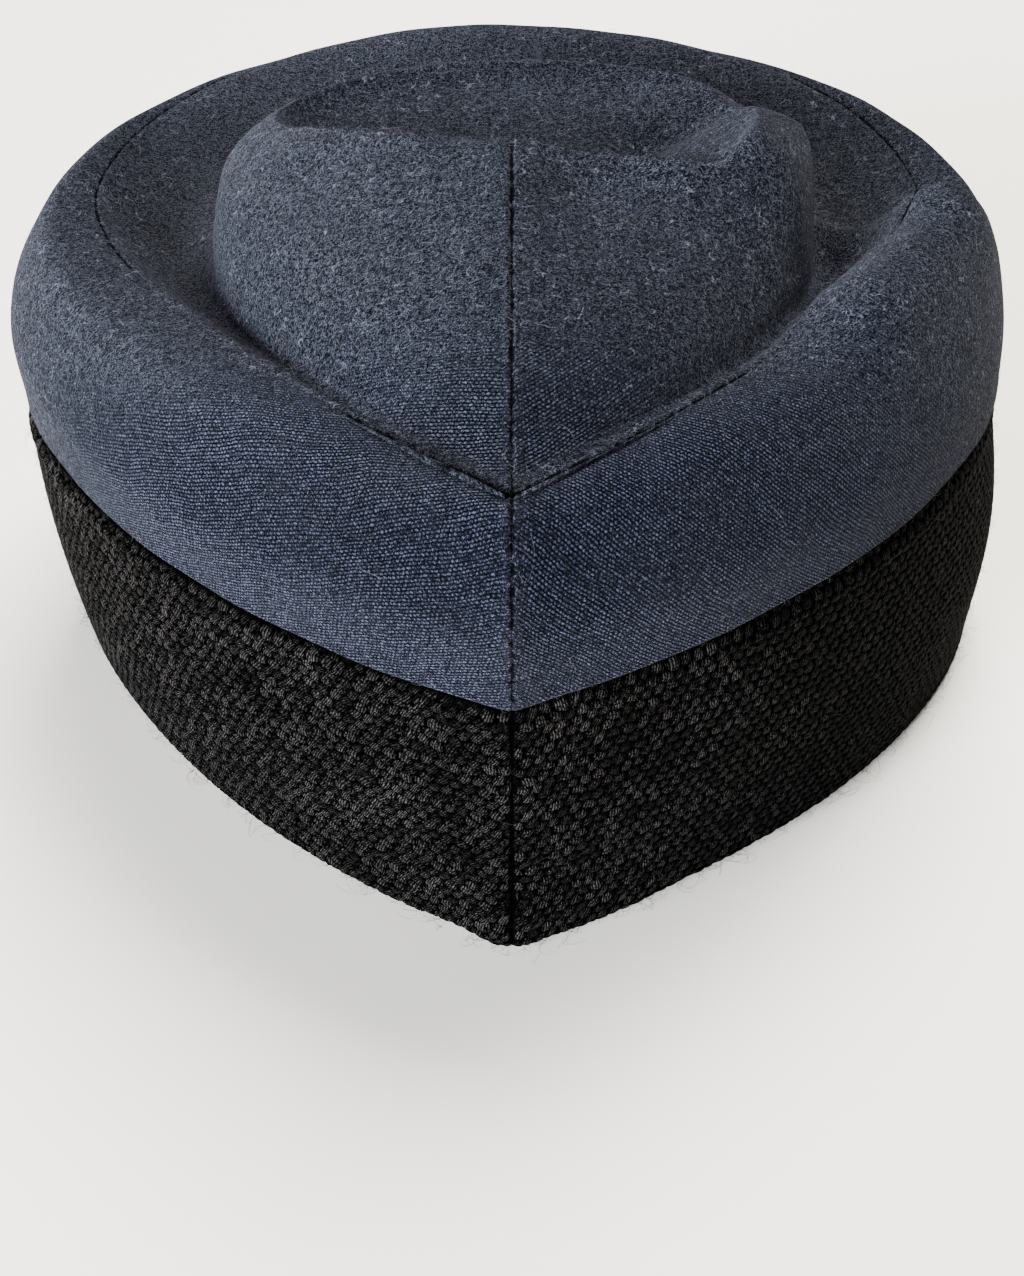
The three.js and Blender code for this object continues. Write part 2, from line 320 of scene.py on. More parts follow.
crownCloth = {
    "thickness": 2.0,
    "coarseStep": 1.1,
    "fineStep": 0.13,
    "rollRows": 6,
    # the sewn seams: a groove, a pressed allowance under the cloth beside it, puckers along it
    "grooveDepth": 0.50,
    "grooveWidth": 0.36,
    "grooveLimit": 1.3,       # where two grooves cross, in groove depths
    "veeShare": 0.45,         # how deep the V seam is beside the centre seam
    "allowance": 4.6,
    "allowanceRise": 0.10,
    "allowanceEdge": 1.2,
    "pucker": {"depth": 0.05, "pitch": 3.1, "place": 1.4, "width": 1.1},
    "slowWave": 0.22,
    "quickWave": 0.12,
    # where the seams show: from here on, or as far as here, over so many millimetres
    "centreSeamFrom": (12, 8),
    "veeLeast": 0.25,
    "veeWithin": {"middle": -6, "reach": (44, 14)},
    "veeFrom": (-20, 45),
    "flankSeamFrom": (52, 12),
    "flankSeamUpTo": (32, 20),
    # where the open weave shows: at the back and low on the sides, and less along the seams
    "topWeaveFrom": (50, 26),
    "topWeaveBeside": (1.2, 2.4),
    "sideWeaveFrom": (30, 36),
    "sideFeltAbove": {"share": 0.8, "height": (78, 14), "goneFrom": (40, 30)},
    "seamWeave": 0.45,
    "besideSeam": (0.6, 2.2),
    # the seams' own shade: how far from a seam is told apart, and how narrow the centre one is
    "seamReach": 6.0,
    "centreNarrow": 0.8,
    # painted shade: the cloth is painted darker and warmer in the moat round the dome, where the trough
    # lies in shade, most of all at its sides
    "moatShadeLevels": 1.1,
    "moatShadeLeast": 0.35,
    "moatShadeFrom": (25, 25),
    "mapLean": 1.04,          # lets the top's cloth map out along its slope
    "mapPart": 3,             # the side's cloth map is measured one part in so many up from the edge
    "rollMapStep": 0.5,
    "weaveTurn": {"top_left": 0, "side_left": -20, "top_right": -38, "side_right": 45},
}


def seamRelief(distance, along):
    c = crownCloth
    p = c["pucker"]
    edge = c["allowanceEdge"]
    groove = ridge(distance, -c["grooveDepth"], 0, c["grooveWidth"])
    allowance = c["allowanceRise"] * (1 - smoothStep((distance - c["allowance"] + edge / 2) / edge))
    height = p["depth"] * np.sin(2 * math.pi * along / p["pitch"])
    pucker = ridge(distance, height, p["place"], p["width"])
    return groove + allowance + pucker


def distanceFromVee(points):
    # nearest distance to the seam line and how far along it that is
    seamAngles = np.linspace(-math.pi, math.pi, measuring["seamAngles"])
    line = crownSurface(np.array([float(seamLevel)]), seamAngles)[0]
    length = arcLength(line)
    tree = kdtree.KDTree(len(line))
    for index, point in enumerate(line):
        tree.insert(point, index)
    tree.balance()
    found = [tree.find(point)[1:] for point in points.reshape(-1, 3)]
    index, distance = np.array(found).T
    return distance.reshape(points.shape[:-1]), length[index.astype(int)].reshape(points.shape[:-1])


def softWaves(points):
    # slow unevenness of pressed wool
    x, y, z = points[..., 0], points[..., 1], points[..., 2]
    slow, quick = crownCloth["slowWave"], crownCloth["quickWave"]
    return (slow * np.sin(0.085 * x + 0.05 * y + 1.3) * np.sin(0.07 * y - 0.09 * z)
            + quick * np.sin(0.21 * x - 0.13 * y + 0.17 * z + 0.6) * np.sin(0.16 * y + 0.11 * x))


def turned(u, v, degrees):
    t = math.radians(degrees)
    return u * math.cos(t) + v * math.sin(t), v * math.cos(t) - u * math.sin(t)


def seamsShow(x, y):
    # beyond the back of the dome the seams are pressed flat and don't show
    c = crownCloth
    centreShows = rising(y, *c["centreSeamFrom"])
    within = falling(np.abs(x - c["veeWithin"]["middle"]), *c["veeWithin"]["reach"])
    veeShows = (c["veeLeast"] + (1 - c["veeLeast"]) * within) * rising(y, *c["veeFrom"])
    # the V seam comes back as a thin line along both flanks
    flankShows = rising(np.abs(x), *c["flankSeamFrom"]) * falling(y, *c["flankSeamUpTo"])
    return centreShows, np.maximum(veeShows, flankShows)


def openWeave(points, fromCentre, fromVee, topHalf):
    c = crownCloth
    y, z = points[..., 1], points[..., 2]
    if topHalf:
        nearest = fromCentre
        woven = rising(y, *c["topWeaveFrom"]) * rising(fromVee, *c["topWeaveBeside"])
    else:
        felt = c["sideFeltAbove"]
        nearest = np.minimum(fromCentre, fromVee)
        woven = rising(y, *c["sideWeaveFrom"]) * (
            1 - felt["share"] * rising(z, *felt["height"]) * (1 - rising(y, *felt["goneFrom"])))
    return woven * (c["seamWeave"] + (1 - c["seamWeave"]) * rising(nearest, *c["besideSeam"]))


def crownPanel(part, side):
    c = crownCloth
    topHalf = part.startswith("top")
    low, high = (seamLevel, apexLevel) if topHalf else (0, seamLevel)
    dense, length = measuredRing("bulge", crownRings, side)
    angles = anglesAt(gradedSteps(length[-1], c["fineStep"], c["coarseStep"]), dense, length, side)
    dense, length = measuredLevels(crownSurface, low, high, side, measuring["levels"])
    levels = np.interp(gradedSteps(length[-1], c["fineStep"], c["coarseStep"], fineEnd=not topHalf),
                       length, dense)
    base = crownSurface(levels, angles)
    normals = outwardNormals(base)
    columns = len(angles)

    x, y = base[..., 0], base[..., 1]
    fromCentre = np.abs(x)
    along = arcLength(base)
    fromVee, alongVee = distanceFromVee(base)
    centreShows, veeShows = seamsShow(x, y)
    relief = (centreShows * seamRelief(fromCentre, along + y)
              + c["veeShare"] * veeShows * seamRelief(fromVee, alongVee))
    relief = np.maximum(relief, -c["grooveDepth"] * c["grooveLimit"])
    outer = keptToSide(base + (relief + softWaves(base))[..., None] * normals, side)
    inner = keptToSide(base - c["thickness"] * normals, side)

    turn = c["weaveTurn"][part]
    woven = openWeave(base, fromCentre, fromVee, topHalf)
    # distance from the nearer seam, let out to its reach where that seam is pressed flat
    reach = c["seamReach"]
    away = np.minimum(fromCentre * c["centreNarrow"] + reach * (1 - centreShows),
                      fromVee + reach * (1 - veeShows))
    away = np.minimum(away, reach)
    if topHalf:
        slope = (base[..., 2] - y) * math.sqrt(0.5) * c["mapLean"]
        mapU, mapV = (bothFaces(axis) for axis in turned(x, slope, turn))
        # painted shade in the moat: strongest at the moat's level, weaker near the centre seam
        moatShade = ridge(levels, 1, moatLevel, c["moatShadeLevels"])[:, None] * (
            c["moatShadeLeast"] + (1 - c["moatShadeLeast"]) * rising(fromCentre, *c["moatShadeFrom"]))
        profile = np.concatenate((outer[::-1], inner))
        values = {"weave": bothFaces(woven), "fromSeam": bothFaces(away), "moatShade": bothFaces(moatShade)}
    else:
        down = base[0] - base[1]
        down /= np.linalg.norm(down, axis=-1, keepdims=True)
        roll = keptToSide(rollRows(outer[0], inner[0], down, c["rollRows"]), side)
        profile = np.concatenate((outer[::-1], roll, inner))
        around = arcLength(base.transpose(1, 0, 2)).T
        across = around[len(around) // c["mapPart"]][None, :]
        mapU, mapV = turned(across + 0 * along, along, turn)
        rolled = [mapV[0] - c["rollMapStep"] * (k + 1) for k in range(c["rollRows"])]
        mapV = bothFaces(mapV, np.array(rolled))
        mapU = bothFaces(mapU, np.repeat(mapU[:1], c["rollRows"], 0))
        flat = np.ones((c["rollRows"], columns))
        values = {"weave": bothFaces(woven, flat), "fromSeam": bothFaces(away, reach * flat)}

    quads, caps = sweptFaces(len(profile), columns)
    piece = meshObject("wool_" + part, profile, quads, caps, values, (mapU, mapV))
    if topHalf:
        mergeCloseCorners(piece)
    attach(piece, "root")
    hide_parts("crown_" + part)
    return piece, outer, normals


crownPieces, woolSkin = [], []
for part, side in (("top_left", 1), ("side_left", 1), ("top_right", -1), ("side_right", -1)):
    piece, outer, normals = crownPanel(part, side)
    crownPieces.append(piece)
    woolSkin.append((outer, normals))
print("crown panels made")


# knitted band

knitBand = {
    "thickness": 4.0,
    "tuckDepth": 2.6,         # how far the ledge under the crown's edge goes in
    "tuckHeight": 6.0,
    "stitchWide": 2.6,
    "stitchHigh": 2.15,
    "stitchFill": 0.56,       # past half a cell, so that neighbours touch
    "stitchRise": 0.42,
    "stitchBase": 0.6,        # this share of the height counts as level
    # painted light and shade: how much paler or darker the yarn is painted near the back seam, further
    # round and at the front, paler on the lit left half and darker on the right half, which lies in
    # shade;
    # gap: how far down the painted shade under the crown's edge reaches; lean: how far the top leans in
    "left": {"slant": -32, "wearAndPaintedLight": (1.10, 1.10, 0.85), "gap": 3.2, "lean": 2.1},
    "right": {"slant": -24, "wearAndPaintedLight": (0.93, 0.42, 0.85), "gap": 1.8, "lean": 1.3},
    "paintedLightFurther": (15, 80),
    "paintedLightFront": (190, 80),
    "gapFade": 1.5,
    "seamShade": (0.35, 0.5),
    "leanHeight": 4.2,
    "rowStep": 0.38,
    "columnStep": 0.5,
    "seamStep": 0.22,
    "frontStep": 1.3,         # coarser where the stitches are left to the finish
    "fineReach": 185,
    "fineFade": 12,
    "seamFade": 1.6,          # the stitches flatten this close to the seam
    "innerStep": 3.2,
    "measureRows": 1200,
    "grooveDepth": 1.1,
    "grooveWidth": 0.8,
    "noSeam": 99.0,           # stands for the distance from a seam on the front half
    "slowWave": 0.35,
    # soft ridges beside the seam and under the crown: height, place, width
    "seamRidge": (0.35, 3.2, 1.8),
    "topRidge": (0.45, 5.2, 1.1),
    # the hem stands out at the foot of the back seam, sharply on its left and slowly on its right
    "hemFlare": 1.7,
    "kickLeft": {"full": 1.2, "reach": 11},
    "kickRight": (8, 32),
    "slack": 0.4,
    "slackFrom": (14, 30),
    "flareHeight": 20,
    "rollRows": 7,
    "rollMapStep": 0.6,
    "innerMapStart": 5,
    "innerMapStep": 1.1,
}


def stitchHeight(u, v):
    # round stitches in rows, every other row moved along by half a stitch
    b = knitBand
    row = np.floor(v / b["stitchHigh"])
    across = u / b["stitchWide"] + 0.5 * np.mod(row, 2)
    x, y = across - np.floor(across) - 0.5, v / b["stitchHigh"] - row - 0.5
    return np.sqrt(np.clip(1 - (x / b["stitchFill"]) ** 2 - (y / b["stitchFill"]) ** 2, 0, 1))


def wobble(u, v):
    # uneven tension of the knit, added to the stitch map
    du = (0.35 * np.sin(0.19 * v + 0.05 * u) + 0.26 * np.sin(0.43 * v - 0.11 * u + 1.7)
          + 0.26 * np.sin(1.05 * v + 0.62 * u + 0.4))
    dv = (0.30 * np.sin(0.071 * u + 0.6) + 0.22 * np.sin(0.33 * u + 0.21 * v)
          + 0.24 * np.sin(0.9 * u - 0.5 * v + 2.2))
    return du, dv


def bandGrid(side):
    b = knitBand
    dense, length = measuredRing("middle", bandRings, side)
    fine = gradedSteps(b["fineReach"], b["seamStep"], b["columnStep"], fineEnd=False)
    front = gradedSteps(length[-1] - b["fineReach"], b["columnStep"], b["frontStep"], fineEnd=False)
    angles = anglesAt(np.concatenate((fine, b["fineReach"] + front[1:])), dense, length, side)
    dense, length = measuredLevels(bandSurface, 0, len(bandRings) - 1, side, b["measureRows"])
    levels = np.interp(np.arange(0, length[-1], b["rowStep"]), length, dense)
    levels[-1] = dense[-1]
    innerLevels = np.linspace(0, dense[-1], int(length[-1] / b["innerStep"]))
    return levels, innerLevels, angles


def bandRelief(u, mapU, mapV, fromSeam, fromTop, lean):
    b = knitBand
    modelled = falling(np.abs(u), b["fineReach"], b["fineFade"]) * smoothStep(np.abs(u) / b["seamFade"])
    relief = b["stitchRise"] * (stitchHeight(mapU, mapV) - b["stitchBase"]) * modelled
    relief -= ridge(fromSeam, b["grooveDepth"], 0, b["grooveWidth"])
    relief += ridge(fromSeam, *b["seamRidge"])
    relief -= lean * (1 - smoothStep(fromTop / b["leanHeight"]))
    relief += ridge(fromTop, *b["topRidge"])
    relief += (b["slowWave"] * np.sin(0.05 * mapU + 0.04 * mapV)
               * np.sin(0.09 * mapV + 0.013 * mapU + 0.8))
    return relief


def hemKick(base, side):
    b = knitBand
    across = np.abs(base[..., 0])
    left = b["kickLeft"]
    kick = (smoothStep(left["full"] - across / left["reach"]) if side > 0
            else 1 - rising(across, *b["kickRight"]))
    slack = b["slack"] * (1 - rising(across, *b["slackFrom"]))
    flare = (kick + slack) * (1 - smoothStep(base[..., 2] / b["flareHeight"]))
    return b["hemFlare"] * flare * (base[..., 1] > 0)


def bandHalf(name, side):
    b = knitBand
    own = b["left" if side > 0 else "right"]
    levels, innerLevels, angles = bandGrid(side)
    base = bandSurface(levels, angles)
    normals = outwardNormals(base)
    along = arcLength(base)
    ringLength = arcLength(ringLine("middle", bandRings, angles))
    u = ringLength if side > 0 else ringLength - ringLength[-1]
    mapU = np.repeat(u[None, :], len(levels), 0)
    du, dv = wobble(mapU, along)
    mapU, mapV = mapU + du, along + dv

    fromSeam = np.where(base[..., 1] > 0, np.abs(base[..., 0]), b["noSeam"])
    fromTop = along[-1] - along
    relief = bandRelief(u, mapU, mapV, fromSeam, fromTop, own["lean"])
    outer = base + relief[..., None] * normals
    outer[..., 1] += hemKick(base, side)
    innerBase = bandSurface(innerLevels, angles)
    inner = innerBase - b["thickness"] * outwardNormals(innerBase)
    inner[0, :, 2] = outer[0, :, 2]

    # the rolled hem takes the last of the height, and the top tucks in under the crown
    up = np.array([0, 0, 1])
    spread = np.linalg.norm((outer[0] - inner[0])[:, :2], axis=-1, keepdims=True)
    lift = spread / 2 * up
    hemOuter, hemInner = outer[0] + lift, inner[0] + lift
    roll = rollRows(hemOuter, hemInner, -up, b["rollRows"])
    ledge = base[-1] - b["tuckDepth"] * normals[-1]
    tuck, innerTop = ledge + b["tuckHeight"] * up, inner[-1] + b["tuckHeight"] * up
    outer[..., 2] = np.maximum(outer[..., 2], hemOuter[None, :, 2])
    profile = np.concatenate((outer[::-1], roll, inner[1:], [innerTop, tuck, ledge]))
    profile = keptToSide(profile, side)
    profile[..., 2] = np.maximum(profile[..., 2], 0)

    rows, columns = profile.shape[:2]
    extra = rows - len(levels)
    steps = np.arange(1, extra + 1)[:, None]
    mapV = np.concatenate((
        mapV[::-1], mapV[0] - b["rollMapStep"] * steps[:b["rollRows"]],
        mapV[0] - b["innerMapStart"] - b["innerMapStep"] * steps[:extra - b["rollRows"]]))
    mapU = np.concatenate((mapU[::-1], np.repeat(mapU[:1], extra, 0)))
    # painted light and shade round the band, from the back seam to the front
    near, further, front = own["wearAndPaintedLight"]
    wearAndPaintedLight = near + (further - near) * rising(np.abs(u), *b["paintedLightFurther"])
    wearAndPaintedLight = wearAndPaintedLight + (front - wearAndPaintedLight) * rising(np.abs(u), *b["paintedLightFront"])
    # the dark seam line, and painted shade under the crown's edge from the top down to the gap
    shade = 1 - rising(fromSeam, *b["seamShade"]) + falling(fromTop, own["gap"], b["gapFade"])
    values = {"slant": np.full((rows, columns), math.radians(own["slant"])),
              "wearAndPaintedLight": np.repeat(wearAndPaintedLight[None, :], rows, 0),
              "seamShade": np.concatenate((np.clip(shade, 0, 1)[::-1], np.zeros((extra, columns))))}
    quads, caps = sweptFaces(rows, columns)
    piece = meshObject(name, profile, quads, caps, values, (mapU, mapV))
    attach(piece, "root")
    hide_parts("knit_band")
    return piece, outer, normals, roll


bandPieces, knitSkin = [], []
for name, side in (("knit_left", 1), ("knit_right", -1)):
    piece, outer, normals, roll = bandHalf(name, side)
    bandPieces.append(piece)
    knitSkin.append((outer, normals, roll))
print("knitted band made")


# peak

clothPeak = {
    "thickness": 3.0,
    "halfAngle": 55,
    "depth": 44,
    "frontHeight": 6,
    "droop": 2,
    "crown": 1.5,
    "hemGap": 0.3,
    "columns": 190,
    "rows": 44,
    "rollRows": 7,
    "weave": 0.6,
    "leastWidth": 0.4,        # narrower than this, at the ends, the edge faces away from the root
    "edgeFade": 6,            # the rolled edge is at its full inset from this width up
    "levelStep": 0.01,        # a little way up the band, to find which way it faces
}


def clothPeakPiece():
    p = clothPeak
    half = math.radians(p["halfAngle"])
    angles = np.linspace(math.pi - half, math.pi + half, p["columns"])
    hem = ringLine("hem", bandRings, angles)
    hem[:, 2] -= p["hemGap"]
    surface = bandSurface(np.array([0, p["levelStep"]]), angles)
    root = surface[0] - knitBand["thickness"] * outwardNormals(surface)[0]
    root[:, 2] = hem[:, 2]

    front = dict(zip(ringColumns, bandRings["hem"]))["front"]
    turn = (math.pi - angles) / half * (math.pi / 2)
    reach = np.where(turn > 0, hem[0, 0], -hem[-1, 0])
    towardsFront = np.cos(turn)
    edge = np.stack((
        reach * np.sin(turn),
        hem[0, 1] + (front - p["depth"] - hem[0, 1]) * towardsFront,
        hem[0, 2] + (p["frontHeight"] - hem[0, 2]) * towardsFront - p["droop"] * np.sin(2 * turn) ** 2,
    ), -1)
    shares = np.linspace(0, 1, p["rows"])[:, None, None]
    top = hem[None] + (edge - hem)[None] * shares
    top[..., 2] += p["crown"] * np.sin(math.pi * shares[..., 0]) * towardsFront[None]

    # the rolled edge faces away from the hem, and at the ends away from the root
    outwards = edge - hem
    width = np.linalg.norm(outwards, axis=-1, keepdims=True)
    fallback = hem - root
    fallback /= np.linalg.norm(fallback, axis=-1, keepdims=True)
    outwards = np.where(width > p["leastWidth"], outwards / np.maximum(width, tiny), fallback)
    inset = p["thickness"] / 2 * smoothStep(width / p["edgeFade"])
    pull = 1 - np.minimum(inset / np.maximum(width, tiny), 1)
    top = hem[None] + (top - hem[None]) * (pull[None] * np.array([1, 1, 0]) + np.array([0, 0, 1]))
    under = (0, 0, -p["thickness"])
    roll = rollRows(top[-1], top[-1] + under, outwards, p["rollRows"])
    profile = np.concatenate(([root], top, roll, top[::-1] + under, [root + under]))

    rows, columns = profile.shape[:2]
    quads, caps = sweptFaces(rows, columns)
    values = {"weave": np.full((rows, columns), p["weave"]),
              "fromSeam": np.full((rows, columns), crownCloth["seamReach"])}
    piece = meshObject("cloth_peak", profile, quads, caps, values, (profile[..., 0], profile[..., 1]))
    mergeCloseCorners(piece)
    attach(piece, "root")
    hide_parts("peak")
    return piece


peakPiece = clothPeakPiece()
print("peak made")


# stray fibres

# how a fibre bends: shares of its length, and how it thins towards its end
fibreBend = {"swing": (0.6, 1.5), "shorten": 0.25, "sideways": 0.35, "winding": 3.6,
             "arch": 0.75, "taper": 0.7, "sides": 3}


def strayFibres(name, roots, normals, tangents, lengths, lift, curl, radius, segments=6):
    f = fibreBend
    count, sides = len(roots), f["sides"]
    s = np.linspace(0, 1, segments + 1)[None, :, None]
    sideways = np.cross(normals, tangents)
    phase = rng.uniform(0, 2 * math.pi, (count, 1, 1))
    swing = rng.uniform(*f["swing"], (count, 1, 1)) * curl
    lengths = lengths[:, None, None]
    lift = lift[:, None, None]
    wave = np.sin(phase + f["winding"] * swing * s) - np.sin(phase)
    path = (roots[:, None] + tangents[:, None] * lengths * s * (1 - f["shorten"] * swing * s)
            + sideways[:, None] * lengths * swing * f["sideways"] * wave
            + normals[:, None] * lengths * lift * np.sin(s * math.pi * f["arch"]))
    along = np.gradient(path, axis=1)
    along /= np.maximum(np.linalg.norm(along, axis=-1, keepdims=True), tiny)
    helper = rng.normal(size=(count, 1, 3))
    first = np.cross(along, helper)
    first /= np.maximum(np.linalg.norm(first, axis=-1, keepdims=True), tiny)
    second = np.cross(along, first)
    thick = radius * (1 - f["taper"] * s ** 2)
    turns = 2 * math.pi * np.arange(sides) / sides
    rings = np.stack([path + thick * (first * math.cos(t) + second * math.sin(t)) for t in turns], 2)

    # the faces of one fibre, then the same for all of them
    own = []
    for k in range(segments):
        for t in range(sides):
            n = (t + 1) % sides
            own.append((k * sides + t, k * sides + n, (k + 1) * sides + n, (k + 1) * sides + t))
    ends = np.array([np.arange(sides)[::-1], np.arange(sides) + segments * sides])
    stride = (segments + 1) * sides
    starts = np.arange(count)[:, None, None] * stride
    quads = (starts + np.array(own)[None]).reshape(-1, 4)
    caps = (starts + ends[None]).reshape(-1, sides).tolist()
    piece = meshObject(name, rings, quads, caps,
                       {"tone": np.repeat(rng.uniform(0, 1, count), stride)})
    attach(piece, "root")
    return piece


def scattered(skins, count, keep):
    roots, normals = [], []
    for skin in skins:
        outer, normal = skin[0].reshape(-1, 3), skin[1].reshape(-1, 3)
        chosen = rng.choice(len(outer), count, replace=False)
        roots.append(outer[chosen])
        normals.append(normal[chosen])
    roots, normals = np.concatenate(roots), np.concatenate(normals)
    kept = keep(roots)
    return roots[kept], normals[kept]


def acrossNormals(normals):
    tangents = np.cross(normals, rng.normal(size=normals.shape))
    return tangents / np.maximum(np.linalg.norm(tangents, axis=-1, keepdims=True), tiny)


woolFuzz = {"perPanel": 260, "length": (1.6, 6.5), "shorter": (0.5, 1), "lift": (0.02, 0.12),
            "curl": 0.8, "radius": 0.025, "offSeam": 0.4, "offCloth": 0.02}


def woolFuzzPiece():
    w = woolFuzz
    roots, normals = scattered(woolSkin, w["perPanel"], lambda r: np.abs(r[:, 0]) > w["offSeam"])
    tangents = acrossNormals(normals)
    lengths = rng.uniform(*w["length"], len(roots)) * rng.uniform(*w["shorter"], len(roots))
    lift = rng.uniform(*w["lift"], len(roots))
    piece = strayFibres("wool_fuzz", roots + w["offCloth"] * normals, normals, tangents,
                        lengths, lift, w["curl"], w["radius"])
    return piece


# most of the knit's fibres stand on its face, and longer ones hang about the rolled hem
knitFuzz = {"perHalf": 900, "length": (0.8, 2.6), "lift": (0.15, 0.7), "above": 3,
            "hemPerHalf": 260, "hemLength": (1.5, 4.5), "hemLift": (0.5, 1.1), "hemAbove": 0.5,
            "curl": 1.3, "radius": 0.03, "segments": 7, "floorGap": 0.05}


def knitFuzzPiece():
    k = knitFuzz
    roots, normals = scattered(knitSkin, k["perHalf"], lambda r: r[:, 2] > k["above"])
    hemRoots, hemNormals = [], []
    for _, normal, roll in knitSkin:
        row = rng.integers(1, len(roll) - 2, k["hemPerHalf"])
        column = rng.integers(0, roll.shape[1], k["hemPerHalf"])
        hemRoots.append(roll[row, column])
        hemNormals.append(normal[0, column])
    hemRoots = np.concatenate(hemRoots)
    hemRoots[:, 2] = np.maximum(hemRoots[:, 2], k["hemAbove"])
    allRoots = np.concatenate((roots, hemRoots))
    allNormals = np.concatenate([normals] + hemNormals)
    tangents = acrossNormals(allNormals)
    lengths = np.concatenate((rng.uniform(*k["length"], len(roots)),
                              rng.uniform(*k["hemLength"], len(hemRoots))))
    lift = np.concatenate((rng.uniform(*k["lift"], len(roots)),
                           rng.uniform(*k["hemLift"], len(hemRoots))))
    piece = strayFibres("knit_fuzz", allRoots, allNormals, tangents, lengths, lift,
                        k["curl"], k["radius"], k["segments"])
    # no fibre goes through the floor
    for vertex in piece.data.vertices:
        vertex.co.z = max(vertex.co.z, k["floorGap"] / perMetre)
    return piece


woolFibres = woolFuzzPiece()
knitFibres = knitFuzzPiece()
print("stray fibres made")


# finishes

class Finish:
    # a small helper that wires shader nodes
    def __init__(self, name):
        self.material = bpy.data.materials.new(name)
        self.material.use_nodes = True
        self.tree = self.material.node_tree
        self.shader = self.tree.nodes["Principled BSDF"]

    def node(self, kind, inputs=None, **settings):
        made = self.tree.nodes.new(kind)
        for key, value in settings.items():
            setattr(made, key, value)
        for key, value in (inputs or {}).items():
            self.feed(made.inputs[key], value)
        return made

    def feed(self, socket, value):
        if isinstance(value, bpy.types.NodeSocket):
            self.tree.links.new(value, socket)
        else:
            socket.default_value = value

    def maths(self, operation, *values, clamp=False):
        made = self.tree.nodes.new("ShaderNodeMath")
        made.operation = operation
        made.use_clamp = clamp
        for socket, value in zip(made.inputs, values):
            self.feed(socket, value)
        return made.outputs[0]

    def times(self, first, second, clamp=False):
        return self.maths("MULTIPLY", first, second, clamp=clamp)

    def plus(self, first, second):
        return self.maths("ADD", first, second)

    def minus(self, first, second, clamp=False):
        return self.maths("SUBTRACT", first, second, clamp=clamp)

    def scaled(self, value, factor, added):
        return self.maths("MULTIPLY_ADD", value, factor, added)

    def blendColours(self, share, first, second, how="MIX"):
        made = self.tree.nodes.new("ShaderNodeMix")
        made.data_type = "RGBA"
        made.blend_type = how
        self.feed(made.inputs[0], share)
        self.feed(made.inputs[6], first)
        self.feed(made.inputs[7], second)
        return made.outputs[2]

    def stretch(self, value, low, high):
        return self.node("ShaderNodeMapRange", {0: value, 1: low, 2: high},
                         interpolation_type="SMOOTHSTEP").outputs[0]

    def attribute(self, name):
        return self.node("ShaderNodeAttribute", attribute_name=name).outputs["Fac"]

    def clothMap(self):
        made = self.node("ShaderNodeUVMap", uv_map="clothMap").outputs[0]
        split = self.node("ShaderNodeSeparateXYZ", {0: made})
        return made, split.outputs[0], split.outputs[1]

    def millimetres(self):
        made = self.node("ShaderNodeTexCoord")
        return self.node("ShaderNodeVectorMath", {0: made.outputs["Object"], 3: perMetre},
                         operation="SCALE").outputs[0]

    def noise(self, where, scale, detail=2.0, roughness=0.5, flat=False):
        return self.node("ShaderNodeTexNoise", {
            "Vector": where, "Scale": scale, "Detail": detail, "Roughness": roughness},
            noise_dimensions="2D" if flat else "3D").outputs[0]

    def pattern(self, where, scale, detail, roughness, low, high, flat=False):
        return self.stretch(self.noise(where, scale, detail, roughness, flat), low, high)

    def hairs(self, space, scale, width, shift):
        # thin lines where a soft noise crosses its middle, broken into short lengths
        moved = self.node("ShaderNodeVectorMath", {0: space, 1: (shift, 2 * shift, -shift)}).outputs[0]
        soft = self.noise(moved, scale, detail=1.0, roughness=0.4)
        away = self.maths("ABSOLUTE", self.minus(soft, 0.5))
        line = self.minus(1.0, self.maths("DIVIDE", away, width), clamp=True)
        broken = self.pattern(moved, scale * 0.9, 0.0, 0.5, 0.42, 0.58)
        return self.times(line, broken)

    def ramp(self, share, *stops):
        made = self.node("ShaderNodeValToRGB", {0: share})
        elements = made.color_ramp.elements
        for index, (place, colour) in enumerate(stops):
            stop = elements[index] if index < 2 else elements.new(place)
            stop.position = place
            stop.color = colour
        return made.outputs[0]

    def spanned(self, value, low, high, first, last):
        return self.node("ShaderNodeMapRange", {
            0: value, 1: low, 2: high, 3: first, 4: last}).outputs[0]

    def bumped(self, height, distance):
        bump = self.node("ShaderNodeBump", {"Strength": 1.0, "Distance": distance, "Height": height})
        self.feed(self.shader.inputs["Normal"], bump.outputs[0])

    def staggeredCells(self, u, v, wide, high):
        # rows of cells, every other row moved along by half a cell: the place in the cell from
        # -0.5 to 0.5 each way, and a chance value of its own for each cell
        down = self.maths("DIVIDE", v, high)
        row = self.maths("FLOOR", down)
        offset = self.times(self.maths("FLOORED_MODULO", row, 2.0), 0.5)
        across = self.plus(self.maths("DIVIDE", u, wide), offset)
        cell = self.maths("FLOOR", across)
        x = self.minus(self.minus(across, cell), 0.5)
        y = self.minus(self.minus(down, row), 0.5)
        place = self.node("ShaderNodeCombineXYZ", {0: cell, 1: row}).outputs[0]
        chance = self.node("ShaderNodeTexWhiteNoise", {"Vector": place}, noise_dimensions="2D")
        return x, y, chance.outputs[0]

    def spread(self, x, y, xWeight, yWeight):
        return self.plus(self.times(self.times(x, x), xWeight),
                         self.times(self.times(y, y), yWeight))

    def tintedWhere(self, share, colour, tint):
        return self.blendColours(share, colour, self.blendColours(1.0, colour, tint, "MULTIPLY"))

    def tinted(self, colour, shade):
        grey = self.node("ShaderNodeCombineColor", {0: shade, 1: shade, 2: shade}).outputs[0]
        return self.blendColours(1.0, colour, grey, "MULTIPLY")


